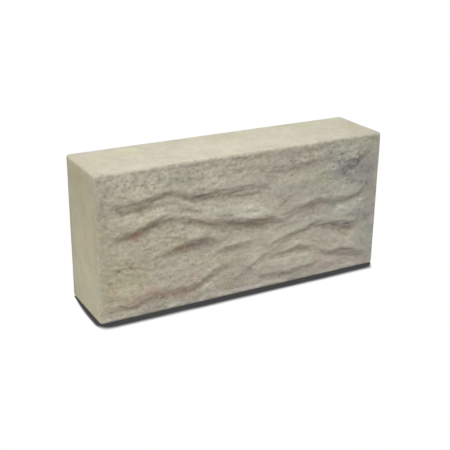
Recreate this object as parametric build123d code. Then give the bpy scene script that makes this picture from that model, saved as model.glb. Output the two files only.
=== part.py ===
from build123d import *

import os
from dataclasses import dataclass
from math import hypot

# Concrete walling block, cast solid in one piece, standing on its bed face as it is laid.
# The top, bed, back and ends are plain. The front is rippled like riven rock: long ledges
# wander from end to end, each a steep lip with the stone swelling out above it and falling
# back below it. A narrow plain margin is left round the ripples.
#
# Millimetres. X runs along the block, +Y from the front to the back, +Z up.
# The origin is the middle of the bed face.

# Driving sizes of the block
length = 300.0
height = 140.0
thickness = 70.0  # from the back face to the plane of the front margin
arris_radius = 2.5  # every edge and corner is slightly rounded

# The plain margins round the ripples, and the width over which the ripples die away into them
margin_left = 6.0
margin_right = 9.0
margin_top = 5.0
margin_bed = 6.0
fade_width = 10.0

# How a ledge is shaped: the share of its step that stands out of the margins' plane, and how
# far its crest is rounded off
step_out_share = 0.6
crest_rounding = 0.35

# The smooth surface of the front lies just inside the rounded edges. It is drawn through
# upright sections, spaced along the block, each a smooth line through points spaced up it.
surface_inset = 3.5
section_pitch = 5.0
point_pitch = 2.5
end_section_gap = 1.0  # the second and last but one sections, which hold the ends flat

# The ledges are drawn on a board of this size, measured from its lower left corner, and
# the board is fitted to the block's front
board_length = 300.0
board_height = 140.0


@dataclass
class Ledge:
    """One ledge of the rippled face: a crest, with its swell above and its hollow below.

    crest is a line from left to right. Each of its points holds how far along and how far up
    it is, how far the stone steps out there, and how tall the undercut below it is. The stone
    swells out towards the crest from this far above it, and comes back to the face this far
    below the undercut.
    """

    crest: list
    swell: float
    apron: float

    def height_at(self, along, up):
        """How far this ledge moves the face outwards at one point of the board."""
        if not self.crest[0][0] < along < self.crest[-1][0]:
            return 0.0
        crest_up, step, undercut = crest_at(self.crest, along)
        above, below = up - crest_up, crest_up - up
        out, sunk = step * step_out_share, step * (1 - step_out_share)
        swelling = out * max(1 - above / self.swell, 0.0) ** 1.5
        if below < undercut:
            sinking = step * (1 - below / undercut) ** 1.5 - sunk
        else:
            sinking = -sunk * (1 - ease((below - undercut) / self.apron))
        return rounded_lesser(swelling, sinking, crest_rounding * step / (1 + step))


def ease(share):
    """Rises smoothly from 0 to 1 as share does."""
    share = min(max(share, 0.0), 1.0)
    return share * share * (3 - 2 * share)


def rounded_lesser(first, second, rounding):
    """The lesser of two heights, with the crest where they meet rounded off."""
    return (first + second) / 2 - hypot((first - second) / 2, rounding) + rounding


def crest_at(points, along):
    """Height, step and undercut of a crest, on a smooth curve through its points."""
    last = len(points) - 1
    left = max(i for i in range(last) if points[i][0] <= along)
    span = points[left + 1][0] - points[left][0]
    t = (along - points[left][0]) / span
    weights = (
        (left, 2 * t**3 - 3 * t**2 + 1, t**3 - 2 * t**2 + t),
        (left + 1, 3 * t**2 - 2 * t**3, t**3 - t**2),
    )
    values = []
    for axis in (1, 2, 3):
        value = 0.0
        for point, value_weight, slope_weight in weights:
            before, after = points[max(point - 1, 0)], points[min(point + 1, last)]
            slope = (after[axis] - before[axis]) / (after[0] - before[0])
            value += value_weight * points[point][axis] + slope_weight * span * slope
        values.append(value)
    return values[0], max(values[1], 0.0), values[2]


# Along, up, step and undercut, in millimetres on the board
main_ledge = Ledge(
    crest=[
        (10, 80, 0, 5),
        (24, 84, 3.0, 7),
        (38, 86.5, 3.6, 8),
        (50, 90.5, 4.2, 9),
        (60, 93.5, 4.0, 8),
        (72, 90.5, 2.2, 4.5),
        (88, 87.3, 2.6, 4),
        (100, 85, 3.0, 5),
        (110, 80.8, 3.0, 5.5),
        (122, 79.5, 3.6, 7.5),
        (134, 79, 4.4, 8.5),
        (144, 76.8, 5.6, 8.5),
        (158, 76.3, 6.4, 10),
        (170, 75.8, 5.4, 10),
        (179.5, 73.5, 3.0, 8),
        (196, 71, 0, 6),
    ],
    swell=22,
    apron=16,
)
brow_ledge = Ledge(
    crest=[
        (10, 110, 0, 8),
        (26, 112.5, 2.8, 9),
        (44, 113, 3.2, 9),
        (56, 115.5, 3.0, 8),
        (69, 117, 1.8, 6),
        (80, 113.6, 2.6, 6.5),
        (90, 109.4, 3.8, 7),
        (100, 108.8, 4.2, 8),
        (114, 109.6, 3.8, 8.5),
        (128, 110, 3.0, 8),
        (144, 110.6, 2.6, 7),
        (160, 109.6, 1.8, 6),
        (182, 108, 0, 6),
    ],
    swell=16,
    apron=14,
)
brow_foot = Ledge(
    crest=[
        (16, 103, 0, 3.5),
        (32, 104.5, 1.6, 4),
        (48, 105.5, 1.8, 4),
        (62, 106.5, 1.4, 4),
        (74, 106, 1.4, 4),
        (84, 101, 2.0, 4),
        (92, 97.5, 1.6, 4),
        (102, 93, 0, 4),
    ],
    swell=5,
    apron=9,
)
right_ledge = Ledge(
    crest=[
        (186, 75.5, 0, 6),
        (200, 79, 2.0, 7),
        (212, 81.3, 2.8, 7.5),
        (222, 83.5, 3.0, 8),
        (232, 83.8, 2.6, 8),
        (243, 81.5, 2.4, 7),
        (253, 81, 3.2, 7),
        (263, 81.4, 3.2, 7),
        (273, 83.8, 2.8, 6.5),
        (283, 87.5, 1.4, 6),
        (297, 94, 0, 5),
    ],
    swell=18,
    apron=12,
)
left_pocket = Ledge(
    crest=[
        (48, 57, 0, 5),
        (62, 60, 1.2, 5),
        (72, 62, 2.2, 6),
        (81, 64.5, 3.6, 9),
        (90, 66.8, 4.6, 11),
        (99, 67.2, 4.4, 11),
        (109, 65.5, 3.0, 8),
        (119, 63.5, 1.6, 6),
        (132, 61, 0, 5),
    ],
    swell=13,
    apron=14,
)
middle_seam = Ledge(
    crest=[
        (110, 49.5, 0, 5),
        (122, 52, 1.8, 5.5),
        (133, 53.5, 2.6, 6),
        (144, 53.5, 2.2, 5.5),
        (156, 54, 1.0, 5),
        (176, 55.5, 0, 4),
    ],
    swell=8,
    apron=10,
)
rising_seam = Ledge(
    crest=[
        (160, 43, 0, 4.5),
        (180, 49, 1.2, 4.5),
        (196, 53, 1.8, 4.5),
        (206, 55.5, 2.4, 5),
        (215, 57.8, 2.6, 5),
        (226, 59, 2.2, 5),
        (236, 59.5, 1.4, 5),
        (250, 60, 0, 4),
    ],
    swell=11,
    apron=11,
)
right_pocket = Ledge(
    crest=[
        (226, 57, 0, 4),
        (239, 57, 2.2, 5.5),
        (249, 56.5, 3.8, 8),
        (257, 55.5, 4.8, 10),
        (264, 54.5, 5.2, 11),
        (270, 53, 3.6, 9),
        (277, 52.5, 1.0, 5),
        (292, 52.5, 0, 4),
    ],
    swell=16,
    apron=11,
)
low_seam = Ledge(
    crest=[
        (168, 33, 0, 4.5),
        (180, 35.5, 1.4, 4.5),
        (189, 36.6, 2.2, 5),
        (198, 38, 2.4, 5),
        (206, 39.2, 2.4, 5),
        (214, 37.6, 1.8, 5),
        (222, 35.4, 1.0, 4.5),
        (234, 32, 0, 4),
    ],
    swell=7,
    apron=10,
)
slant_seam = Ledge(
    crest=[
        (136, 21, 0, 4.5),
        (150, 28, 1.2, 4.5),
        (162, 35, 1.6, 4.5),
        (174, 40.5, 1.6, 4.5),
        (186, 43, 1.2, 4.5),
        (206, 45, 0, 4),
    ],
    swell=9,
    apron=10,
)
left_foot = Ledge(
    crest=[
        (3, 13.5, 0, 7),
        (20, 16.5, 1.8, 8),
        (36, 18.5, 2.4, 9),
        (50, 21, 3.0, 9),
        (62, 22, 3.2, 9.5),
        (76, 21.5, 3.4, 9),
        (90, 21.5, 3.6, 8),
        (98, 23.5, 3.4, 7),
        (106, 28, 3.0, 6),
        (115, 32.5, 2.2, 5.5),
        (124, 34, 1.2, 5),
        (136, 34.5, 0, 4),
    ],
    swell=18,
    apron=7,
)
right_foot = Ledge(
    crest=[
        (220, 31, 0, 4),
        (232, 29, 1.4, 4.5),
        (242, 26.5, 2.6, 5.5),
        (252, 26, 3.2, 7),
        (262, 25.8, 3.6, 8),
        (271, 23.5, 3.6, 7.5),
        (279, 19, 2.8, 6),
        (286, 15.5, 1.6, 5),
        (296, 13, 0, 4),
    ],
    swell=13,
    apron=8,
)
middle_foot = Ledge(
    crest=[
        (154, 18, 0, 5),
        (172, 16.5, 1.8, 6.5),
        (188, 15, 2.6, 7),
        (204, 15, 2.6, 7),
        (219, 17, 2.0, 6),
        (238, 20, 0, 5),
    ],
    swell=14,
    apron=6,
)
top_shelf = Ledge(
    crest=[
        (158, 119.5, 0, 5),
        (176, 121.8, 1.6, 6),
        (196, 122, 1.8, 6),
        (211, 122.3, 2.6, 6),
        (226, 123.5, 1.6, 5),
        (246, 124.5, 0, 5),
    ],
    swell=9,
    apron=12,
)
corner_slant = Ledge(
    crest=[
        (240, 105.5, 0, 5),
        (251, 110.5, 1.0, 7),
        (259, 114, 1.6, 8),
        (267, 118, 2.0, 9),
        (275, 122, 2.0, 9),
        (283, 125.5, 1.2, 7),
        (295, 129, 0, 5),
    ],
    swell=10,
    apron=14,
)

ledges = [
    main_ledge,
    brow_ledge,
    brow_foot,
    right_ledge,
    left_pocket,
    middle_seam,
    rising_seam,
    right_pocket,
    low_seam,
    slant_seam,
    left_foot,
    right_foot,
    middle_foot,
    top_shelf,
    corner_slant,
]

# The plane of the margins, and the outline of the front's smooth surface
front_y = -thickness / 2
surface_left = -length / 2 + surface_inset
surface_right = length / 2 - surface_inset
surface_low = surface_inset
surface_high = height - surface_inset


def ripple_at(x, z):
    """How far the front stands out of its margins at one place, dying away towards them."""
    into_ripples = min(
        x + length / 2 - margin_left,
        length / 2 - margin_right - x,
        z - margin_bed,
        height - margin_top - z,
    )
    along = (x + length / 2) * board_length / length
    up = z * board_height / height
    return ease(into_ripples / fade_width) * sum(ledge.height_at(along, up) for ledge in ledges)


def spaced(low, high, pitch):
    """Evenly spaced places from low to high, about pitch apart."""
    count = round((high - low) / pitch)
    return [low + (high - low) * i / count for i in range(count + 1)]


def rippled_surface():
    """The front's smooth surface, drawn through upright sections."""
    rows = spaced(surface_low, surface_high, point_pitch)
    shares = [i / (len(rows) - 1) for i in range(len(rows))]
    inner = spaced(surface_left, surface_right, section_pitch)[1:-1]
    left_pair = [surface_left, surface_left + end_section_gap]
    right_pair = [surface_right - end_section_gap, surface_right]
    sections = []
    for x in [*left_pair, *inner, *right_pair]:
        points = [Vector(x, front_y - ripple_at(x, z), z) for z in rows]
        sections.append(Wire(Edge.make_spline(points, parameters=shares)))
    return Shell.make_loft(sections).face()


def plain_block():
    """The block before its front is rippled, standing on its bed, with rounded edges."""
    block = Box(length, thickness, height, align=(Align.CENTER, Align.CENTER, Align.MIN))
    return fillet(block.edges(), arris_radius)


def with_front(block, surface):
    """The block with a surface set in its front, which keeps a plain rim round it."""
    plain_front = block.faces().sort_by(Axis.Y).first
    rim = plain_front.make_holes([surface.outer_wire()])
    others = block.faces().filter_by(lambda face: not face.is_same(plain_front))
    return Solid(Shell([*others, rim, surface]))


block = with_front(plain_block(), rippled_surface())

os.makedirs("parts", exist_ok=True)
export_step(block, "parts/block.step")
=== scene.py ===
"""Looks of the concrete walling block: its cast stone, its fine relief and the studio round it."""

import math

import bpy
import numpy as np
from mathutils import Matrix, Vector, noise
from mathutils.bvhtree import BVHTree


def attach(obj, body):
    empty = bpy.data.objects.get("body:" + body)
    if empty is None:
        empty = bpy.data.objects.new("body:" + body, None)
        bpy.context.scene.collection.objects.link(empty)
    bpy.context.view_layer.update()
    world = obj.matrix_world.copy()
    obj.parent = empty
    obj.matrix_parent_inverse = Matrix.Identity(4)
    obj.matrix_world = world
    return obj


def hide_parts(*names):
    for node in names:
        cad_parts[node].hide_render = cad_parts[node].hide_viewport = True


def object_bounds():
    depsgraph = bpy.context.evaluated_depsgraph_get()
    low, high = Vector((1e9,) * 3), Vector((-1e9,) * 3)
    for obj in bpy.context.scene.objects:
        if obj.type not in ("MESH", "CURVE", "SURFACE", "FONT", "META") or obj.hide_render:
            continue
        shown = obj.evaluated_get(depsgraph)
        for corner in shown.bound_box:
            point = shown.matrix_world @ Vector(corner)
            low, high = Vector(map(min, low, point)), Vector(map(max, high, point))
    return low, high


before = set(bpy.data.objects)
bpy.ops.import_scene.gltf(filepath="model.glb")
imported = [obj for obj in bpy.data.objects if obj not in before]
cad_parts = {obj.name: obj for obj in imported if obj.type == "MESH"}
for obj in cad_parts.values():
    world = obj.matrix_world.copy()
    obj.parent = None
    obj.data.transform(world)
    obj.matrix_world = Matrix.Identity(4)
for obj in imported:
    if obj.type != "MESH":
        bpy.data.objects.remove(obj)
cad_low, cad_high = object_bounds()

MM = 0.001
SEED = 11

# The block in the frame, from the CAD's box: the front's margins lie in the plane FRONT
THICKNESS = 70 * MM
LEFT, RIGHT = cad_low.x, cad_high.x
BACK = cad_high.y
BED, TOP = cad_low.z, cad_high.z
FRONT = BACK - THICKNESS
ARRIS = 2.5 * MM  # radius of the rounded edges

# Spacing of the mesh's lines along, up and through the block
PITCH = 0.8 * MM
PITCH_BEHIND = 7.5 * MM
ARRIS_LINES = 3  # lines over each rounded edge
BACK_STRIDE = 4  # the back's inner lines are this many times further apart

random = np.random.default_rng(SEED)


def ease(share):
    """Rises smoothly from 0 to 1 as share does."""
    share = np.clip(share, 0.0, 1.0)
    return share * share * (3 - 2 * share)


def spaced(low, high, pitch):
    """Evenly spaced places from low to high, about pitch apart."""
    count = max(1, round((high - low) / pitch))
    return [low + (high - low) * i / count for i in range(count + 1)]


def growing(low, high, first, last):
    """Places from low to high whose spacing grows evenly from first to last."""
    count = max(2, round(2 * (high - low) / (first + last)))
    steps = [first + (last - first) * i / (count - 1) for i in range(count)]
    scale = (high - low) / sum(steps)
    places = [low]
    for step in steps:
        places.append(places[-1] + step * scale)
    return places


class BoxMesh:
    """A closed box-shaped mesh of welded grids, whose back is coarser than its front."""

    def __init__(self, xs, ys, zs):
        self.xs, self.ys, self.zs = xs, ys, zs
        self.index = {}
        self.faces = []
        self.last = (len(xs) - 1, len(ys) - 1, len(zs) - 1)
        last_x, last_y, last_z = self.last
        along, through, up = range(last_x + 1), range(last_y + 1), range(last_z + 1)
        self.grid([[(i, 0, k) for i in along] for k in up])
        self.grid([[(i, j, last_z) for i in along] for j in through])
        self.grid([[(i, j, 0) for i in reversed(along)] for j in through])
        self.grid([[(0, j, k) for j in reversed(through)] for k in up])
        self.grid([[(last_x, j, k) for j in through] for k in up])
        self.back()

    def vertex(self, key):
        """The number of the vertex at these line numbers, made when first asked for."""
        return self.index.setdefault(key, len(self.index))

    def sharp_place(self, key):
        """Where a vertex lies on the box with sharp edges."""
        return Vector((self.xs[key[0]], self.ys[key[1]], self.zs[key[2]]))

    def grid(self, rows):
        """Quads between neighbouring rows, facing outwards."""
        for lower, upper in zip(rows, rows[1:]):
            for n in range(len(lower) - 1):
                corners = (lower[n], lower[n + 1], upper[n + 1], upper[n])
                self.faces.append([self.vertex(key) for key in corners])

    def back(self):
        """The back: a close ring over its rounded edges, round widely spaced inner lines."""
        last_x, last_y, last_z = self.last
        ring = ARRIS_LINES + 1
        high_x, high_z = last_x - ring, last_z - ring

        def rows(x_range, z_range):
            return [[(i, last_y, k) for i in x_range] for k in z_range]

        self.grid(rows(range(last_x, -1, -1), range(0, ring + 1)))
        self.grid(rows(range(last_x, -1, -1), range(high_z, last_z + 1)))
        self.grid(rows(range(last_x, high_x - 1, -1), range(ring, high_z + 1)))
        self.grid(rows(range(ring, -1, -1), range(ring, high_z + 1)))

        gap = BACK_STRIDE // 2
        inner_x = list(range(ring + BACK_STRIDE, high_x - gap, BACK_STRIDE))
        inner_z = list(range(ring + BACK_STRIDE, high_z - gap, BACK_STRIDE))
        self.grid(rows(inner_x[::-1], inner_z))
        sides = (
            (rows(range(high_x, ring - 1, -1), [ring]), rows(inner_x[::-1], inner_z[:1]), 0),
            (rows(range(ring, high_x + 1), [high_z]), rows(inner_x, inner_z[-1:]), 0),
            (rows([ring], range(ring, high_z + 1)), rows(inner_x[:1], inner_z), 2),
            (rows([high_x], range(high_z, ring - 1, -1)), rows(inner_x[-1:], inner_z[::-1]), 2),
        )
        for outer, inner, axis in sides:
            self.strip(sum(outer, []), sum(inner, []), axis)

    def strip(self, outer, inner, axis):
        """Triangles between a close row of vertices and a widely spaced one beside it."""
        sign = 1 if outer[-1][axis] > outer[0][axis] else -1
        outer_at = [sign * key[axis] for key in outer]
        inner_at = [sign * key[axis] for key in inner]
        n, m = 0, 0
        while n < len(outer) - 1 or m < len(inner) - 1:
            outer_ends = n == len(outer) - 1
            inner_ends = m == len(inner) - 1
            if inner_ends or (not outer_ends and 2 * outer_at[n + 1] <= inner_at[m] + inner_at[m + 1]):
                corners = (outer[n], outer[n + 1], inner[m])
                n += 1
            else:
                corners = (outer[n], inner[m + 1], inner[m])
                m += 1
            self.faces.append([self.vertex(key) for key in corners])


def rounded(place):
    """A place on the sharp box, moved onto the rounded one, and the way out from there."""
    core = Vector(
        (
            min(max(place.x, LEFT + ARRIS), RIGHT - ARRIS),
            min(max(place.y, FRONT + ARRIS), BACK - ARRIS),
            min(max(place.z, BED + ARRIS), TOP - ARRIS),
        )
    )
    way_out = (place - core).normalized()
    return core + way_out * ARRIS, way_out


arris_pitch = ARRIS / ARRIS_LINES
lines_along = spaced(LEFT, RIGHT, PITCH)
lines_up = spaced(BED, TOP, PITCH)
lines_through = [
    *spaced(FRONT, FRONT + ARRIS, arris_pitch)[:-1],
    *growing(FRONT + ARRIS, BACK - ARRIS, arris_pitch, PITCH_BEHIND),
    *spaced(BACK - ARRIS, BACK, arris_pitch)[1:],
]
box = BoxMesh(lines_along, lines_through, lines_up)

# The face's relief is worked out in millimetres, over a board with a point at each crossing of
# the front's lines: how far along and how far up the block each point is
along, up = np.meshgrid((np.array(lines_along) - LEFT) / MM, (np.array(lines_up) - BED) / MM)
board_length, board_height = along.max(), up.max()
pitch = PITCH / MM
from_edge = np.minimum(
    np.minimum(along, board_length - along),
    np.minimum(up, board_height - up),
)


def blurred(field, reach):
    """A field averaged under a bell curve that spreads this many millimetres."""
    spread = reach / pitch
    half = math.ceil(3 * spread)
    bell = np.exp(-0.5 * (np.arange(-half, half + 1) / spread) ** 2)
    bell /= bell.sum()
    for axis in (0, 1):
        margins = [(0, 0), (0, 0)]
        margins[axis] = (half, half)
        padded = np.pad(field, margins, mode="edge")
        field = np.apply_along_axis(np.convolve, axis, padded, bell, mode="valid")
    return field


def evened(field):
    """A field shifted and scaled to a mean of 0 and a spread of 1."""
    return (field - field.mean()) / field.std()


def grains(size):
    """A random field whose grains are about this many millimetres across."""
    return evened(blurred(random.standard_normal(along.shape), size / 2))


def sampled(field, row, column):
    """A field's values between its points, at these rows and columns."""
    row = np.clip(row, 0, field.shape[0] - 1.001)
    column = np.clip(column, 0, field.shape[1] - 1.001)
    i, j = row.astype(int), column.astype(int)
    u, v = row - i, column - j
    lower = field[i, j] * (1 - v) + field[i, j + 1] * v
    upper = field[i + 1, j] * (1 - v) + field[i + 1, j + 1] * v
    return lower * (1 - u) + upper * u


# The ledges: what the CAD's own front stands out of its margins
cad_tree = BVHTree.FromObject(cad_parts["block"], bpy.context.evaluated_depsgraph_get())
RAY_START = cad_low.y - 10 * MM
LEDGE_MARGIN = 1.2 * ARRIS / MM  # the ledges keep this far from the face's edges


def cad_front(x, z):
    """How far the CAD's front stands out of the plane of its margins, in millimetres."""
    place = cad_tree.ray_cast(Vector((x, RAY_START, z)), Vector((0, 1, 0)))[0]
    return (FRONT - place.y) / MM if place else 0.0


ledges = np.array([[cad_front(x, z) for x in lines_along] for z in lines_up])
ledges[from_edge < LEDGE_MARGIN] = 0.0

# Which way the stone flows: along the ledges near each point, and level in the margins and far
# from the ledges
FLOW_SOFTENING = 1.5
FLOW_REACH = 5.0
LEVEL_PULL = 0.006
LEVEL_MARGIN = 14.0
steep_up, steep_along = np.gradient(blurred(ledges, FLOW_SOFTENING), pitch)
steep_along = steep_along * ease(from_edge / LEVEL_MARGIN - 0.5)
flow = 0.5 * np.arctan2(
    -2 * blurred(steep_up * steep_along, FLOW_REACH),
    blurred(steep_up**2 - steep_along**2, FLOW_REACH) + LEVEL_PULL,
)


def streaks(width, length, angles):
    """A random field drawn out along a field of angles, into streaks about this wide and long."""
    field = grains(width)
    total = field.copy()
    for sign in (1, -1):
        row, column = np.indices(field.shape).astype(float)
        for _ in range(round(length / 2 / pitch)):
            angle = sampled(angles, row, column)
            row = row + sign * np.sin(angle)
            column = column + sign * np.cos(angle)
            total += sampled(field, row, column)
    return evened(total)


# The ledges' lines are frayed: each point takes the height of a point close by
FRAY = 0.55
FRAY_GRAIN = 4
fray_up = FRAY * (0.8 * streaks(2.0, 6, flow) + 0.7 * streaks(3.5, 14, flow)) / pitch
fray_along = FRAY * grains(FRAY_GRAIN) / pitch
row, column = np.indices(ledges.shape)
ledges = sampled(ledges, row + fray_up, column + fray_along)

# How far lines and the edges of patches wander, along and up
wander_along = 2.5 * grains(14) + 1.2 * grains(5)
wander_up = 1.2 * grains(12) + 0.7 * grains(4)


def patch(middle_along, middle_up, half_length, half_height, slant=0.0):
    """A soft oval patch, 1 in its middle, its edges wandering a little."""
    turn = math.radians(slant)
    out = along + wander_along - middle_along
    rise = up + wander_up - middle_up
    length_share = (out * math.cos(turn) + rise * math.sin(turn)) / half_length
    height_share = (rise * math.cos(turn) - out * math.sin(turn)) / half_height
    return np.exp(-(length_share**2) - height_share**2)


# Small seams between the ledges. Each is a line of points along and up, then its step
SMALL_SEAMS = [
    ([(10, 51), (24, 51), (40, 49.5)], 0.8),
    ([(56, 73.5), (68, 73), (76, 71), (84, 68.5)], 0.9),
    ([(46, 56), (58, 56.5), (72, 58.5), (84, 59)], 0.6),
    ([(6, 35), (18, 34), (36, 35)], 0.6),
    ([(72, 43), (78, 38.5), (84, 34)], 0.7),
    ([(58, 25), (70, 28), (84, 28)], 0.7),
    ([(108, 47), (118, 43), (123, 37), (124, 30)], 0.7),
    ([(27, 119.5), (35, 117.5), (43, 119.5)], 0.6),
    ([(28, 116), (36, 114.5), (46, 117)], 0.6),
    ([(29, 112.5), (37, 111.5), (47, 114)], 0.5),
    ([(112, 84), (124, 84), (140, 82.5)], 0.8),
    ([(130, 101), (142, 100), (152, 100.2), (166, 101.5)], 1.5),
    ([(180, 82), (186, 85.5), (193, 91), (208, 92)], 1.0),
    ([(184, 74), (198, 75), (212, 73.5)], 0.6),
    ([(156, 69), (168, 67.5), (180, 66), (196, 66)], 1.1),
    ([(222, 108), (238, 109), (256, 109.5)], 0.7),
    ([(166, 124), (184, 122.5), (204, 122.5)], 0.7),
    ([(262, 98), (272, 95), (284, 89)], 0.8),
    ([(276, 70), (290, 72)], 0.7),
    ([(262, 58), (276, 58.5), (290, 60)], 0.3),
    ([(138, 31), (147, 27.5), (158, 22)], 0.9),
    ([(156, 45.5), (172, 46.8), (184, 48.2), (196, 49.8), (210, 52.5)], 0.6),
    ([(88, 114), (104, 113), (122, 110.5)], 0.8),
    ([(146, 71), (157, 69), (170, 66)], 1.0),
    ([(116, 68), (128, 67.5), (138, 65)], 0.7),
    ([(158, 15), (174, 13.5), (194, 11.5)], 0.45),
    ([(160, 22), (176, 23), (192, 21.5)], 0.6),
    ([(98, 18), (108, 20.5), (122, 20)], 0.5),
    ([(120, 19), (136, 18.5), (150, 21)], 0.7),
    ([(176, 60), (196, 62), (214, 65)], 0.5),
    ([(238, 92), (252, 92.5), (266, 96)], 0.5),
    ([(30, 66), (44, 66), (58, 64)], 0.5),
    ([(96, 98), (112, 96), (130, 92)], 0.5),
    ([(44, 98), (60, 99), (76, 97)], 0.4),
]
SEAM_LIP = 1.0
SEAM_SWELL = 4.0
SEAM_FOOT = 3.0
SEAM_WANDER = 0.4  # share of the patches' wandering
SEAM_END = 0.3  # share of a seam over which it dies away at each end


def small_seam(points, step):
    """A little step in the face along a line, dying away above, below and at its ends."""
    line_along, line_up = zip(*points)
    above = up + SEAM_WANDER * wander_up - np.interp(along, line_along, line_up)
    lip = 0.5 * (1 + np.tanh(above / SEAM_LIP))
    swell = np.exp(-np.maximum(above, 0) / SEAM_SWELL)
    foot = np.exp(-np.maximum(-above, 0) / SEAM_FOOT)
    run = line_along[-1] - line_along[0]
    share = (along - line_along[0]) / run
    ends = ease(share / SEAM_END) * ease((1 - share) / SEAM_END)
    return step * ends * (lip * swell - (1 - lip) * foot) / 2


PIT_DEPTH = 0.45  # share of a pit's radius
PIT_SQUASH = 1.3  # how much wider than tall a pit is


def pits(count, least, most, chance):
    """Pits of random size: this many tries over the face, each kept by the chance at its place."""
    bowls = np.zeros(along.shape)
    rows, columns = along.shape
    for _ in range(count):
        row, column = random.integers(rows), random.integers(columns)
        radius = random.uniform(least, most)
        kept = random.random() < chance[row, column]
        if not kept:
            continue
        reach = math.ceil(radius / pitch)
        near_rows = slice(max(row - reach, 0), row + reach + 1)
        near_columns = slice(max(column - reach, 0), column + reach + 1)
        window = (near_rows, near_columns)
        out = along[window] - along[row, column]
        rise = up[window] - up[row, column]
        away = np.hypot(out, PIT_SQUASH * rise) / radius
        bowl = -PIT_DEPTH * radius * np.clip(1 - away**2, 0, 1) ** 1.5
        bowls[window] = np.minimum(bowls[window], bowl)
    return bowls


# How coarse the grain is: coarse along the top, at the left and in the stained corner
COARSE_FROM_UP, COARSE_TOP_WIDTH = 112, 12
COARSE_TO_ALONG, COARSE_LEFT_WIDTH = 190, 120
COARSE_MOST = 1.3
STAINED_CORNER = (266, 113, 24, 15, 20)
coarse_top = ease((up + 2 * wander_up - COARSE_FROM_UP) / COARSE_TOP_WIDTH)
coarse_left = ease((COARSE_TO_ALONG - along + 2 * wander_along) / COARSE_LEFT_WIDTH)
coarse_corner = patch(*STAINED_CORNER)
coarse = 0.25 + 0.45 * coarse_top + 0.4 * coarse_left + 0.8 * coarse_corner
coarse = np.clip(coarse, 0, COARSE_MOST)

# The fine relief, in millimetres: streaks, short strokes that run down to the right, ripples,
# grains, crumbs, lumps, seams and pits
STREAK_HEIGHT = 0.09
HATCH_HEIGHT = 0.105
RIPPLE_HEIGHT = 0.18
GRAIN_HEIGHT = 0.09
CRUMB_HEIGHT = 0.08
LUMP_HEIGHT = 0.07
HATCH_SLANT = math.radians(-34)
hatch = streaks(1.7, 7, 0.3 * flow + HATCH_SLANT)
hatched = np.clip(0.5 + 0.5 * grains(16) + 0.5 * coarse, 0, COARSE_MOST)
fine = STREAK_HEIGHT * streaks(1.8, 7, flow) * (1.2 - 0.5 * coarse)
fine += HATCH_HEIGHT * hatch * hatched
fine += RIPPLE_HEIGHT * streaks(5, 24, flow)
fine += GRAIN_HEIGHT * grains(1.7) * coarse
fine += CRUMB_HEIGHT * grains(2.8) * coarse
fine += LUMP_HEIGHT * grains(6) * coarse
for points, step in SMALL_SEAMS:
    fine += small_seam(points, step)
fine += pits(7000, 0.8, 1.5, 0.02 + 0.2 * coarse)
fine += pits(500, 1.4, 2.4, 0.01 + 0.4 * coarse_corner)

# Shallow scars in and below the stained corner: along, up, half length, half height and slant
CORNER_SCARS = [
    (259, 105.5, 3, 1.8, 10),
    (266, 111, 4.5, 2.4, 20),
    (272, 114.5, 2.2, 2, 40),
    (250, 117, 3, 1.5, -30),
    (259, 118, 2.5, 1.8, -30),
    (267, 118, 3, 1.4, 0),
    (278, 118.5, 6, 1.6, 12),
    (274, 123, 5, 1.4, 25),
    (284, 87.5, 3, 2, 0),
]
SCAR_DEPTH = 0.4
scars = sum(patch(*scar) for scar in CORNER_SCARS)
fine -= SCAR_DEPTH * scars

# The cast margins at the two upright edges are smoother than the rest
SMOOTH_LEFT, SMOOTH_RIGHT = 5.0, 9.0
SMOOTHING = 0.65
smooth_left = ease(2 - along / SMOOTH_LEFT)
smooth_right = ease(2 - (board_length - along) / SMOOTH_RIGHT)
fine *= 1 - SMOOTHING * np.maximum(smooth_left, smooth_right)

# The top edge of the face is ragged
RAGGED_HEIGHT = 5.0
RAGGED_DEPTH = 0.25
RAGGED_GRAIN = 4.0
ragged = ease((up - board_height) / RAGGED_HEIGHT + 1)
fine -= RAGGED_DEPTH * ragged * np.maximum(grains(RAGGED_GRAIN) + 0.2, 0)

# Near the edges the fine relief only sinks, and not far, so that the block keeps its outline
SINK_LIMIT = 0.35
SINK_WIDTH = 3.0
inner_share = ease((from_edge - ARRIS / MM) / SINK_WIDTH)
outer_fine = np.clip(fine, -SINK_LIMIT, 0)
fine = fine * inner_share + outer_fine * (1 - inner_share)

# The face's height, kept inside the CAD's box, and how hollow the face is: how far each point lies
# below the mean of what is round it. The material uses this to paint shade into the hollows and a
# highlight onto the crests
HOLLOW_REACH, CREASE_REACH = 4.0, 1.2
CREASE_WEIGHT = 1.2
height = np.minimum(ledges + fine, (FRONT - cad_low.y) / MM)
hollow = blurred(height, HOLLOW_REACH) - height
hollow += CREASE_WEIGHT * (blurred(height, CREASE_REACH) - height)
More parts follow.
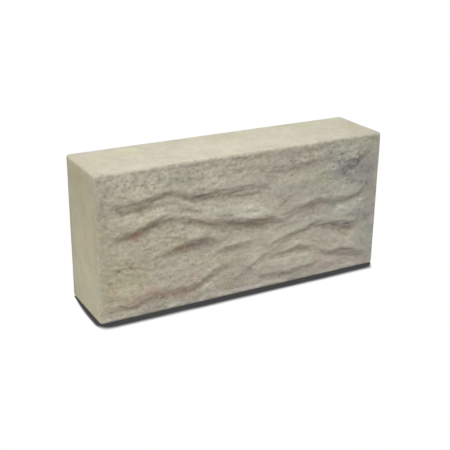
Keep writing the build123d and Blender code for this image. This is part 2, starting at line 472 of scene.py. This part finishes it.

# Pigments in the stone; umber and soot also carry painted shade in the hollows, and chalk a painted
# highlight along the bottom edge. Each multiplies its colour. On the face they lie in patches given as
# along, up, half length, half height, slant in degrees and strength
PIGMENTS_AND_SHADES = {
    "rust": (1.0, 0.715, 0.685),
    "pink": (1.0, 0.86, 0.92),
    "plum": (0.91, 0.885, 1.0),
    "slate": (0.80, 0.86, 0.96),
    "moss": (0.89, 1.0, 0.90),
    "ochre": (1.0, 0.985, 0.86),
    "soot_and_shade": (0.80, 0.79, 0.78),
    "umber_and_shade": (0.70, 0.67, 0.64),
    "lime": (1.18, 1.19, 1.20),
    "chalk_and_highlight": (1.32, 1.34, 1.34),
}
FACE_PATCHES = {
    "rust": [
        (38.5, 79, 8, 4.5, -3, 0.8),
        (101, 82, 12, 3.5, -17, 0.45),
        (124, 77, 12, 3.5, -8, 0.4),
        (157, 72, 12, 3.5, -5, 0.5),
        (84, 59.5, 10, 4, 5, 0.6),
        (100, 61.5, 11, 4, 5, 0.35),
        (56, 17.5, 22, 5.5, 3, 0.4),
        (27, 15, 14, 5, 5, 0.5),
        (78, 15, 16, 4.5, 0, 0.35),
        (94, 26, 12, 6, 0, 0.35),
        (50, 24, 9, 4.5, -20, 0.45),
        (10, 32, 5, 6, 0, 0.4),
        (88, 10, 10, 3, 0, 0.15),
        (34, 49, 6, 3, -8, 0.25),
        (100, 105, 12, 3.5, -5, 0.15),
        (60, 116, 14, 4, 10, 0.1),
        (163, 16, 8, 3, -5, 0.2),
    ],
    "pink": [
        (226, 76, 9, 4.5, 0, 0.8),
        (228, 17, 8, 6, 0, 0.7),
        (246, 9, 11, 4.5, -10, 0.8),
        (270, 10, 12, 4, 0, 0.5),
        (218, 128, 24, 6, 0, 0.2),
        (170, 110, 6, 8, 0, 0.45),
    ],
    "plum": [
        (260, 48, 13, 5.5, -12, 0.9),
        (270, 108, 22, 10, 5, 0.4),
        (190, 4, 130, 4, 0, 0.7),
        (264, 22.5, 16, 4.5, -10, 0.9),
        (238, 74, 12, 4, 0, 0.5),
        (186, 128, 24, 6, 0, 0.3),
        (99, 62.5, 9, 4, 0, 0.5),
        (99, 104.5, 9, 4, 0, 0.8),
        (294, 88, 6, 34, 0, 0.8),
        (286, 14, 10, 8, 0, 0.4),
    ],
    "slate": [
        (268, 109, 24, 12, 5, 0.9),
        (285, 98, 9, 11, 0, 0.9),
        (270, 66, 22, 14, 0, 0.5),
        (282, 57, 14, 8, 0, 0.9),
        (286, 38, 9, 12, 0, 0.35),
        (256, 92, 26, 10, 0, 0.45),
        (295, 28, 6, 30, 0, 0.6),
        (289, 24, 8, 5, 0, 0.4),
        (294, 96, 7, 30, 0, 0.3),
        (232, 66, 24, 10, 0, 0.2),
        (250, 77, 16, 5, 0, 0.5),
        (246, 123, 20, 12, 0, 0.5),
        (192, 100, 18, 3.5, -3, 0.35),
        (223, 92, 7, 6, 0, 0.35),
    ],
    "moss": [
        (234, 106, 4, 10, 0, 0.9),
        (74, 129, 6, 3.5, 0, 0.5),
        (260, 132, 14, 3.5, -5, 0.7),
        (293, 131, 6, 9, 0, 0.6),
        (285, 36, 8, 12, 0, 0.35),
        (270, 36, 8, 5, 0, 0.4),
        (258, 93, 16, 8, 0, 0.45),
        (262, 68, 16, 4, 0, 0.35),
        (76, 73, 6, 5, 0, 0.3),
        (76, 60, 8, 5, 0, 0.3),
        (230, 71, 6, 4, 0, 0.4),
        (124, 89, 7, 3.5, -20, 0.45),
        (34, 38, 8, 9, 0, 0.2),
        (9, 46, 10, 14, 0, 0.35),
        (196, 54, 5, 8, 0, 0.3),
        (218, 40, 6, 3, 0, 0.3),
        (64, 8, 8, 3, 0, 0.4),
        (154, 83, 8, 3, 0, 0.5),
    ],
    "ochre": [
        (4, 82, 6, 9, 0, 1.0),
        (232, 106, 6, 10, 0, 0.5),
        (9, 33, 7, 5, 0, 1.0),
        (8, 20, 8, 11, 0, 1.0),
        (28, 24, 13, 4, 0, 0.7),
        (111, 12, 8, 4, 0, 0.5),
        (30, 31, 11, 5, 0, 1.0),
        (31, 42, 12, 9, 0, 0.9),
        (22, 54, 12, 7, 0, 0.7),
        (30, 75, 70, 60, 0, 0.4),
        (9, 46, 10, 14, 0, 0.6),
        (127, 13, 7, 10, 0, 0.6),
        (142, 37, 8, 6, 0, 0.5),
        (112, 44, 36, 9, 0, 0.3),
        (210, 22, 14, 4, -25, 0.5),
        (165, 132, 8, 7, 0, 0.5),
    ],
    # Soot: weathering stains, and painted shade in the hollows under several ledges
    "soot_and_shade": [
        (270, 106, 18, 9, 5, 1.0),
        (256, 114, 8, 4, -20, 0.5),
        (281, 123, 8, 5, 10, 0.6),
        (282, 100, 12, 16, 0, 0.45),
        (252, 50, 20, 5, -12, 0.4),
        (278, 57, 13, 7, 0, 0.5),
        (138, 15, 18, 6, 0, 0.35),
        (180, 21, 24, 4, 0, 0.4),
        (76, 24.5, 14, 3, 0, 0.6),
        (98, 105, 13, 4, -5, 0.6),
        (100, 111, 15, 2.5, -3, 0.8),
        (49, 88, 12, 5, 10, 1.0),
        (40, 105, 20, 4.5, 2, 0.75),
        (56, 110, 12, 3, 15, 0.7),
        (14, 112, 16, 9, 0, 0.5),
        (122, 106, 26, 4, 0, 0.45),
        (150, 99.5, 14, 2, 0, 0.5),
        (38, 80, 22, 5, 5, 0.4),
        (92, 60, 22, 6, 0, 0.35),
        (62, 52, 14, 3.5, 0, 0.4),
        (92, 67, 12, 3, 0, 0.7),
        (129, 81, 10, 2.5, -8, 0.6),
        (160, 71, 24, 6, -3, 0.4),
        (165, 77, 10, 2.5, 0, 0.4),
        (40, 14, 34, 6, 0, 0.15),
        (268, 20, 24, 6, -8, 0.35),
        (250, 27, 10, 4, 0, 0.5),
        (205, 127, 36, 5, 0, 0.9),
        (262, 129, 20, 4, 0, 0.25),
        (74, 128, 8, 5, 0, 0.4),
        (50, 24, 8, 3, -20, 0.3),
        (212, 119, 5, 2, 0, 0.6),
        (136, 126, 44, 4, 0, 0.5),
        (84, 128, 5, 6, -60, 0.5),
        (184, 39, 32, 3, 0, 0.6),
        (252, 58.5, 24, 4, -3, 0.8),
        (195, 34, 20, 3, 0, 0.3),
        (190, 12, 28, 5, 0, 0.3),
        (34, 63, 8, 4, -15, 0.4),
        (52, 72, 8, 4, 0, 0.4),
        (10, 92, 14, 12, 0, 0.3),
        (150, 135.5, 200, 2.5, 0, 0.55),
        (293, 70, 6, 50, 0, 0.15),
    ],
    # Umber: dark stain and painted shade, in the hollows under the ledges
    "umber_and_shade": [
        (50, 85, 9, 3.5, 5, 0.75),
        (250, 50.5, 16, 4, -13, 0.5),
        (38, 104.5, 17, 3.5, 4, 0.2),
        (55, 110.5, 10, 2, 15, 0.35),
        (77, 110.5, 10, 2.5, -25, 0.4),
        (249, 27, 7, 3, 0, 0.7),
        (94, 67, 9, 2.5, 0, 0.5),
        (205, 127, 16, 3.5, 0, 0.35),
    ],
    "lime": [
        (100, 97, 24, 3.5, -14, 0.4),
        (128, 91, 34, 5, -10, 0.5),
        (122, 101.5, 24, 2, 0, 0.6),
        (56, 98, 26, 3, 0, 0.9),
        (37, 116, 8, 4.5, 0, 0.8),
        (53, 122, 6, 3, 0, 0.5),
        (85, 42, 34, 9, 0, 0.4),
        (52, 39, 14, 5, 0, 0.8),
        (30, 29, 11, 3.5, 0, 0.9),
        (60, 17, 14, 3, 5, 0.75),
        (76, 13, 13, 4, 0, 0.9),
        (147, 42, 16, 6, 10, 0.9),
        (161, 32, 13, 2.5, 30, 0.8),
        (188, 48.5, 15, 2.5, 22, 0.7),
        (182, 12.5, 20, 2.5, -5, 0.5),
        (130, 56, 8, 2.5, 5, 0.5),
        (70, 55, 9, 2.5, 5, 0.4),
        (90, 31, 13, 4, 0, 0.7),
        (108, 13, 11, 6, 0, 1.0),
        (112, 27, 10, 4, 35, 0.35),
        (192, 30, 26, 5, -5, 0.7),
        (190, 50, 12, 4, 15, 0.3),
        (250, 7, 9, 4, 0, 0.5),
        (264, 70, 12, 3, 0, 0.5),
        (256, 131, 10, 3.5, 0, 0.4),
        (141, 78, 6, 2.5, 0, 0.9),
        (37, 110.5, 4, 2, 0, 0.9),
        (171, 69.5, 16, 3, 0, 0.9),
        (210, 111, 22, 8, 0, 0.7),
        (228, 88, 4, 8, 0, 0.4),
        (252, 117, 6, 3, 0, 0.4),
        (265, 124, 5, 2.5, 20, 0.8),
        (263, 110.5, 13, 2.5, 25, 0.5),
        (105, 72, 20, 3, -12, 0.5),
    ],
    "chalk_and_highlight": [
        (152, 85, 15, 6, -8, 0.9),
        # Along the bottom edge: a painted highlight, the floor's light thrown up onto the rounded edge
        (150, 3, 200, 2.5, 0, 1.0),
        (264, 71, 14, 3.5, 0, 1.0),
        (111, 13, 9, 4, 0, 0.4),
        (151, 39, 10, 4, 10, 0.35),
    ],
}

# The face's colour: speckled, with scattered dark specks and dark scars, under the pigments and the
# painted shade and highlight
MOTTLE = 0.25
SPECKLE_TONE = 0.04
SPECK_TONE = 0.20
SCAR_TONE = 0.3
SPECK_SIZE, SPECKLE_SIZE = 2.0, 1.9
mottle = 1 + MOTTLE * streaks(3, 12, flow)
specks = ease(grains(SPECK_SIZE) / 0.8 - 1.4)
tone = 1 + SPECKLE_TONE * grains(SPECKLE_SIZE) * (0.6 + coarse)
tone *= 1 - SPECK_TONE * specks * np.clip(coarse, 0, 1)
tone *= 1 - SCAR_TONE * np.clip(scars, 0, 1)
pigment_and_shade = np.repeat(tone[..., None], 3, axis=2)
for name, spots in FACE_PATCHES.items():
    share = sum(strength * patch(*spot) for *spot, strength in spots)
    share = np.clip(share * mottle, 0, 1)[..., None]
    pigment_and_shade *= 1 - share * (1 - np.array(PIGMENTS_AND_SHADES[name]))

# The plain faces' patches: along, from the front and up, half sizes the same three ways, strength
PLAIN_PATCHES = {
    "ochre": [
        (0, 32, 62, 30, 15, 26, 0.7),
        (0, 36, 112, 30, 20, 20, 0.5),
        (18, 46, 140, 9, 8, 30, 0.5),
        (0, 38, 128, 30, 9, 7, 0.8),
        (0, 6, 88, 30, 5, 22, 0.6),
        (52, 47, 140, 14, 9, 30, 0.6),
        (152, 50, 140, 17, 12, 30, 0.7),
        (285, 30, 140, 9, 11, 30, 0.5),
    ],
    "moss": [
        (0, 36, 30, 30, 13, 12, 0.5),
        (0, 22, 98, 30, 8, 9, 0.5),
        (0, 16, 128, 30, 5, 9, 0.5),
        (105, 61, 140, 14, 5, 30, 0.5),
        (255, 66, 140, 60, 7, 30, 0.5),
        (177, 50, 140, 8, 6, 30, 0.3),
        (48, 52, 140, 16, 10, 30, 0.25),
        (148, 48, 140, 10, 14, 30, 0.3),
        (240, 54, 140, 12, 9, 30, 0.4),
        (284, 26, 140, 8, 12, 30, 0.4),
    ],
    "plum": [
        (0, 70, 60, 30, 8, 90, 1.0),
        (300, 0, 70, 6, 6, 70, 1.0),
        (133, 45, 140, 8, 8, 30, 0.25),
        (48, 31, 140, 12, 6, 30, 0.25),
        (162, 30, 140, 10, 8, 30, 0.25),
        (230, 9, 140, 18, 8, 30, 0.3),
    ],
    "soot_and_shade": [
        (0, 36, 126, 30, 32, 14, 0.35),
        (0, 2, 90, 30, 6, 45, 0.45),
        (300, 0, 80, 6, 6, 80, 0.6),
        (18, 22, 140, 24, 26, 30, 0.3),
        (284, 30, 140, 26, 30, 30, 0.55),
        (192, 42, 140, 16, 9, 30, 0.3),
        (150, 70, 140, 180, 4, 30, 0.2),
    ],
    "lime": [
        (0, 8, 30, 30, 7, 30, 0.2),
        (0, 30, 62, 30, 18, 22, 0.3),
        (140, 30, 140, 50, 40, 30, 0.22),
        (97, 8, 140, 16, 12, 30, 0.3),
        (0, 35, 30, 30, 34, 16, 0.4),
    ],
}
plain_spots = {name: np.array(spots) for name, spots in PLAIN_PATCHES.items()}


def plain_pigment(place):
    """The pigments' colour at one place on a plain face."""
    seat = np.array(place - Vector((LEFT, FRONT, BED))) / MM
    colour = np.ones(3)
    for name, spots in plain_spots.items():
        middles, half_sizes, strengths = spots[:, :3], spots[:, 3:6], spots[:, 6]
        away = (seat - middles) / half_sizes
        share = min(float(np.sum(strengths * np.exp(-np.sum(away**2, axis=1)))), 1.0)
        colour *= 1 - share * (1 - np.array(PIGMENTS_AND_SHADES[name]))
    return colour


# The block's mesh: the rounded box, moved in or out by the relief
EDGE_LEAN = 1 - math.sqrt(0.5)  # how far the way out leans from an axis halfway over an edge
WAVE_DEPTH = 0.10 * MM
WEAR_DEPTH = 0.30 * MM
CHIP_DEPTH = 1.6 * MM
WAVE_SIZE, WEAR_SIZE, CHIP_SIZE = 22 * MM, 3.0 * MM, 8.0 * MM
CHIP_RARITY = 0.42
FLAT = 0.999  # where the way out lies this much along an axis, the surface is flat


def worn_by(place, way_out):
    """How far cast faces wave inwards and rounded edges are worn and chipped, at one place."""
    lean = 1 - max(abs(way_out.x), abs(way_out.y), abs(way_out.z))
    edge = min(lean / EDGE_LEAN, 1.0)
    wave = WAVE_DEPTH * (1 + noise.noise(place / WAVE_SIZE))
    wear = WEAR_DEPTH * (1 + noise.noise(place / WEAR_SIZE))
    chip = CHIP_DEPTH * max(noise.noise(place / CHIP_SIZE) - CHIP_RARITY, 0)
    return wave + edge * (wear + chip)


places = []
front_share, end_share, hollows, pigments_and_shade = [], [], [], []
for i, j, k in box.index:
    place, way_out = rounded(box.sharp_place((i, j, k)))
    facing_front = max(-way_out.y, 0.0)
    on_bed = way_out.z < -FLAT
    if facing_front > FLAT:
        place.y -= height[k, i] * MM
    elif not on_bed:
        sunk = -facing_front * min(fine[k, i], 0) * MM
        place -= way_out * (worn_by(place, way_out) + sunk)
    places.append(tuple(place))
    face_share = float(ease(1.6 * facing_front - 0.5))
    front_share.append(face_share)
    end_share.append(way_out.x**2)
    hollows.append(hollow[k, i] * face_share)
    colour = face_share * pigment_and_shade[k, i]
    if face_share < 1:
        colour = colour + (1 - face_share) * plain_pigment(place)
    pigments_and_shade.append((*colour, 1.0))

mesh = bpy.data.meshes.new("cast_block")
mesh.from_pydata(places, [], box.faces)
mesh.polygons.foreach_set("use_smooth", [True] * len(mesh.polygons))
for name, kind, values in (
    ("front", "FLOAT", front_share),
    ("end", "FLOAT", end_share),
    ("hollow", "FLOAT", hollows),
    ("pigment_and_shade", "FLOAT_COLOR", pigments_and_shade),
):
    attribute = mesh.attributes.new(name, kind, "POINT")
    key = "color" if kind == "FLOAT_COLOR" else "value"
    attribute.data.foreach_set(key, np.array(values, dtype=np.float32).ravel())


def placed(name, data):
    """A new object, put into the scene."""
    thing = bpy.data.objects.new(name, data)
    bpy.context.scene.collection.objects.link(thing)
    return thing


block = placed("cast_block", mesh)
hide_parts("block")
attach(block, "root")


class NodeTree:
    """Adds nodes to a material's or world's tree, with their inputs set or joined."""

    def __init__(self, owner):
        owner.use_nodes = True
        self.nodes = owner.node_tree.nodes
        self.links = owner.node_tree.links

    def add(self, kind, settings=None, **inputs):
        """A new node. An input's value is a number, a colour, or another node's output."""
        node = self.nodes.new("ShaderNode" + kind)
        for name, value in (settings or {}).items():
            setattr(node, name, value)
        for name, value in inputs.items():
            self.join(value, node.inputs[name.replace("_", " ")])
        return node

    def join(self, value, socket):
        """Sets a socket, or joins it to an output."""
        if isinstance(value, bpy.types.NodeSocket):
            self.links.new(value, socket)
        else:
            socket.default_value = value

    def mixed(self, share, first, second, how="MIX"):
        """Two colours mixed."""
        node = self.nodes.new("ShaderNodeMix")
        node.data_type = "RGBA"
        node.blend_type = how
        self.join(share, node.inputs[0])
        self.join(first, node.inputs[6])
        self.join(second, node.inputs[7])
        return node.outputs[2]

    def ramped(self, value, low, high, start=0.0, end=1.0):
        """A value's range from low to high, taken smoothly to the range from start to end."""
        settings = {"interpolation_type": "SMOOTHSTEP"}
        node = self.add("MapRange", settings, Value=value)
        ends = {"From Min": low, "From Max": high, "To Min": start, "To Max": end}
        for name, number in ends.items():
            node.inputs[name].default_value = number
        return node.outputs["Result"]

    def times(self, first, second):
        """Two values multiplied."""
        node = self.nodes.new("ShaderNodeMath")
        node.operation = "MULTIPLY"
        self.join(first, node.inputs[0])
        self.join(second, node.inputs[1])
        return node.outputs[0]


# Cast concrete: its colours, before the pigments
PLAIN_COLOUR = (0.645, 0.605, 0.478, 1)
END_COLOUR = (0.63, 0.580, 0.418, 1)
FACE_COLOUR = (0.585, 0.543, 0.437, 1)

# Changes of tone over the stone, slow and quick: size and how far each way
TONE_CHANGES = ((60 * MM, 0.055), (13 * MM, 0.038), (6 * MM, 0.028), (2.2 * MM, 0.035))
NOISE_LOW, NOISE_HIGH = 0.3, 0.7  # most of a noise's values lie between these

# Painted shade, with some dirt, darkening the hollows, and a painted highlight, with some wear, on the
# proud crests: colour, hollowness at which it is full, and share
DIRT_AND_SHADE, SHADE_FULL_HOLLOW, SHADE_SHARE = (0.66, 0.60, 0.55, 1), 0.9, 0.55
WEAR_AND_HIGHLIGHT, HIGHLIGHT_FULL_HOLLOW, HIGHLIGHT_SHARE = (1.10, 1.10, 1.10, 1), -0.6, 0.5

# Grains of sand, dark and pale: colour, size, noise at which they are full, and share
SAND_STARTS = 0.62
DARK_SAND, DARK_SIZE, DARK_FULL, DARK_SHARE = (0.72, 0.70, 0.68, 1), 0.9 * MM, 0.72, 0.45
PALE_SAND, PALE_SIZE, PALE_FULL, PALE_SHARE = (0.74, 0.72, 0.62, 1), 1.3 * MM, 0.74, 0.35

# The surface: how matt it is, and its coarse and fine grain
ROUGHNESS_LOW, ROUGHNESS_HIGH, ROUGHNESS_SIZE = 0.82, 0.95, 5 * MM
SPECULAR = 0.3
COARSE_GRAIN, COARSE_GRAIN_DEPTH, COARSE_GRAIN_STRENGTH = 2.0 * MM, 0.35 * MM, 0.5
FINE_GRAIN, FINE_GRAIN_DEPTH, FINE_GRAIN_STRENGTH = 0.7 * MM, 0.2 * MM, 0.6
GRAIN_ROUGHNESS = 0.6


def concrete():
    """Cast concrete: sandy and cream where it is plain, weathered and pigmented on its face, with
    painted shade in its hollows and a painted highlight on its crests.
    """
    stone = bpy.data.materials.new("cast_concrete")
    tree = NodeTree(stone)
    shader = tree.nodes["Principled BSDF"]
    space = tree.add("TexCoord").outputs["Object"]

    def cloud(size, detail=2.0, roughness=0.5):
        node = tree.add("TexNoise", Vector=space, Scale=1 / size, Detail=detail, Roughness=roughness)
        return node.outputs["Fac"]

    def attribute(name, output):
        return tree.add("Attribute", {"attribute_name": name}).outputs[output]

    colour = tree.mixed(attribute("end", "Fac"), PLAIN_COLOUR, END_COLOUR)
    colour = tree.mixed(attribute("front", "Fac"), colour, FACE_COLOUR)
    colour = tree.mixed(1.0, colour, attribute("pigment_and_shade", "Color"), "MULTIPLY")

    for size, change in TONE_CHANGES:
        tone = tree.ramped(cloud(size), NOISE_LOW, NOISE_HIGH, 1 - change, 1 + change)
        grey = tree.add("CombineColor", Red=tone, Green=tone, Blue=tone).outputs["Color"]
        colour = tree.mixed(1.0, colour, grey, "MULTIPLY")

    hollow_here = attribute("hollow", "Fac")
    # Painted shade darkens the hollows and a painted highlight lightens the crests
    hollow_shade = tree.ramped(hollow_here, 0.0, SHADE_FULL_HOLLOW, 0.0, SHADE_SHARE)
    colour = tree.mixed(hollow_shade, colour, DIRT_AND_SHADE, "MULTIPLY")
    crest_highlight = tree.ramped(hollow_here, 0.0, HIGHLIGHT_FULL_HOLLOW, 0.0, HIGHLIGHT_SHARE)
    colour = tree.mixed(crest_highlight, colour, WEAR_AND_HIGHLIGHT, "MULTIPLY")

    dark_sand = tree.ramped(cloud(DARK_SIZE, 1.0), SAND_STARTS, DARK_FULL, 0.0, DARK_SHARE)
    colour = tree.mixed(dark_sand, colour, DARK_SAND, "MULTIPLY")
    pale_sand = tree.ramped(cloud(PALE_SIZE, 1.0), SAND_STARTS, PALE_FULL, 0.0, PALE_SHARE)
    colour = tree.mixed(pale_sand, colour, PALE_SAND)
    tree.join(colour, shader.inputs["Base Color"])

    matt = tree.ramped(cloud(ROUGHNESS_SIZE), NOISE_LOW, NOISE_HIGH, ROUGHNESS_LOW, ROUGHNESS_HIGH)
    tree.join(matt, shader.inputs["Roughness"])
    shader.inputs["Specular IOR Level"].default_value = SPECULAR

    coarse_grain = tree.add(
        "Bump",
        Height=cloud(COARSE_GRAIN, 3.0, GRAIN_ROUGHNESS),
        Distance=COARSE_GRAIN_DEPTH,
        Strength=COARSE_GRAIN_STRENGTH,
    )
    fine_grain = tree.add(
        "Bump",
        Height=cloud(FINE_GRAIN, 2.0, GRAIN_ROUGHNESS),
        Distance=FINE_GRAIN_DEPTH,
        Strength=FINE_GRAIN_STRENGTH,
        Normal=coarse_grain.outputs["Normal"],
    )
    tree.join(fine_grain.outputs["Normal"], shader.inputs["Normal"])
    return stone


mesh.materials.append(concrete())


def aim(thing, looking, roll=0.0):
    """Points a camera or a lamp, and rolls it about the way it looks."""
    thing.rotation_mode = "QUATERNION"
    turn = Matrix.Rotation(roll, 3, "Z").to_quaternion()
    thing.rotation_quaternion = looking.to_track_quat("-Z", "Y") @ turn


# Camera, fitted to the photo's edges
CAMERA_PLACE = Vector((-394.0, -701.2, 373.7)) * MM
CAMERA_AZIMUTH = math.radians(28.990)
CAMERA_DROP = math.radians(21.503)
CAMERA_ROLL = math.radians(0.621)
CAMERA_SENSOR = 36
CAMERA_LENS = 71.18


def add_camera():
    """The camera, where the photo was taken from."""
    data = bpy.data.cameras.new("camera")
    data.sensor_width = CAMERA_SENSOR
    data.lens = CAMERA_LENS
    camera = placed("camera", data)
    camera.location = CAMERA_PLACE
    level = Vector((math.sin(CAMERA_AZIMUTH), math.cos(CAMERA_AZIMUTH), 0))
    looking = level * math.cos(CAMERA_DROP) - Vector((0, 0, math.sin(CAMERA_DROP)))
    aim(camera, looking, CAMERA_ROLL)
    bpy.context.scene.camera = camera


# Studio: a pale floor that shows white with a soft shadow round the block, a dome, and a
# softbox up to the left
FLOOR_HALF = 3.0
FLOOR_BOUNCE = 0.24
DOME_STRENGTH = 0.8
SOFTBOX_PLACE = Vector((-0.62, -0.50, 0.92))
SOFTBOX_SIZE = 0.6
SOFTBOX_POWER = 3.6

# The shadow on the floor: how far it reaches in front of the block, and what share of that is
# left beyond its ends and its back, with the distances over which the reach changes
SHADOW_REACH = 14.0 * MM
SHADOW_LEFT_SHARE, SHADOW_RIGHT_SHARE, SHADOW_BACK_SHARE = 0.2, 0.1, 0.15
SHADOW_LEFT_OUT, SHADOW_LEFT_IN = 8 * MM, 2 * MM
SHADOW_RIGHT_IN = 10 * MM
SHADOW_BACK_IN = 50 * MM
SHADOW_LEAN = (0.43, 0.75, 0.50)  # the shadow looks for the block from its front left
SHADOW_DARK, SHADOW_CLEAR = 0.57, 0.92  # the openness at which it is darkest, and at which it ends
SHADOW_TONE = 0.06
SHADOW_SAMPLES = 32


def floor_shadow(tree):
    """The floor's tone as the camera sees it: white, and dark near the block."""
    lean = tree.add("CombineXYZ", X=SHADOW_LEAN[0], Y=SHADOW_LEAN[1], Z=SHADOW_LEAN[2])
    place = tree.add("SeparateXYZ", Vector=tree.add("TexCoord").outputs["Object"])
    x, y = place.outputs["X"], place.outputs["Y"]
    low, high = LEFT - SHADOW_LEFT_OUT, LEFT + SHADOW_LEFT_IN
    left = tree.ramped(x, low, high, SHADOW_LEFT_SHARE * SHADOW_REACH, SHADOW_REACH)
    right = tree.ramped(x, RIGHT - SHADOW_RIGHT_IN, RIGHT, 1.0, SHADOW_RIGHT_SHARE)
    back = tree.ramped(y, BACK - SHADOW_BACK_IN, BACK, 1.0, SHADOW_BACK_SHARE)
    reach = tree.times(tree.times(left, right), back)
    settings = {"samples": SHADOW_SAMPLES}
    near = tree.add("AmbientOcclusion", settings, Distance=reach, Normal=lean.outputs[0])
    return tree.ramped(near.outputs["AO"], SHADOW_DARK, SHADOW_CLEAR, SHADOW_TONE, 1.0)


def floor_look():
    """A floor that glows white with the block's shadow to the camera, and faintly to the rest."""
    look = bpy.data.materials.new("floor")
    tree = NodeTree(look)
    tree.nodes.remove(tree.nodes["Principled BSDF"])
    strength = tree.nodes.new("ShaderNodeMix")
    tree.join(tree.add("LightPath").outputs["Is Camera Ray"], strength.inputs[0])
    tree.join(FLOOR_BOUNCE, strength.inputs[2])
    tree.join(floor_shadow(tree), strength.inputs[3])
    glow = tree.add("Emission", Strength=strength.outputs[0])
    tree.join(glow.outputs["Emission"], tree.nodes["Material Output"].inputs["Surface"])
    return look


def add_floor():
    """The floor, level with the block's bed."""
    ways = ((-1, -1), (1, -1), (1, 1), (-1, 1))
    data = bpy.data.meshes.new("floor")
    data.from_pydata([(x * FLOOR_HALF, y * FLOOR_HALF, 0) for x, y in ways], [], [(0, 1, 2, 3)])
    data.materials.append(floor_look())
    floor = placed("floor", data)


def add_dome():
    """Soft white light from all round, on a white background."""
    world = bpy.data.worlds.new("studio")
    bpy.context.scene.world = world
    tree = NodeTree(world)
    dome = tree.nodes["Background"]
    dome.inputs["Color"].default_value = (1, 1, 1, 1)
    seen = tree.add("LightPath").outputs["Is Camera Ray"]
    tree.join(tree.ramped(seen, 0.0, 1.0, DOME_STRENGTH, 1.0), dome.inputs["Strength"])


def add_softbox():
    """A square lamp that looks at the block."""
    data = bpy.data.lights.new("softbox", "AREA")
    data.size = SOFTBOX_SIZE
    data.energy = SOFTBOX_POWER
    softbox = placed("softbox", data)
    softbox.location = SOFTBOX_PLACE
    aim(softbox, -SOFTBOX_PLACE)


add_camera()
add_floor()
add_dome()
add_softbox()
bpy.context.scene.view_settings.view_transform = "Standard"
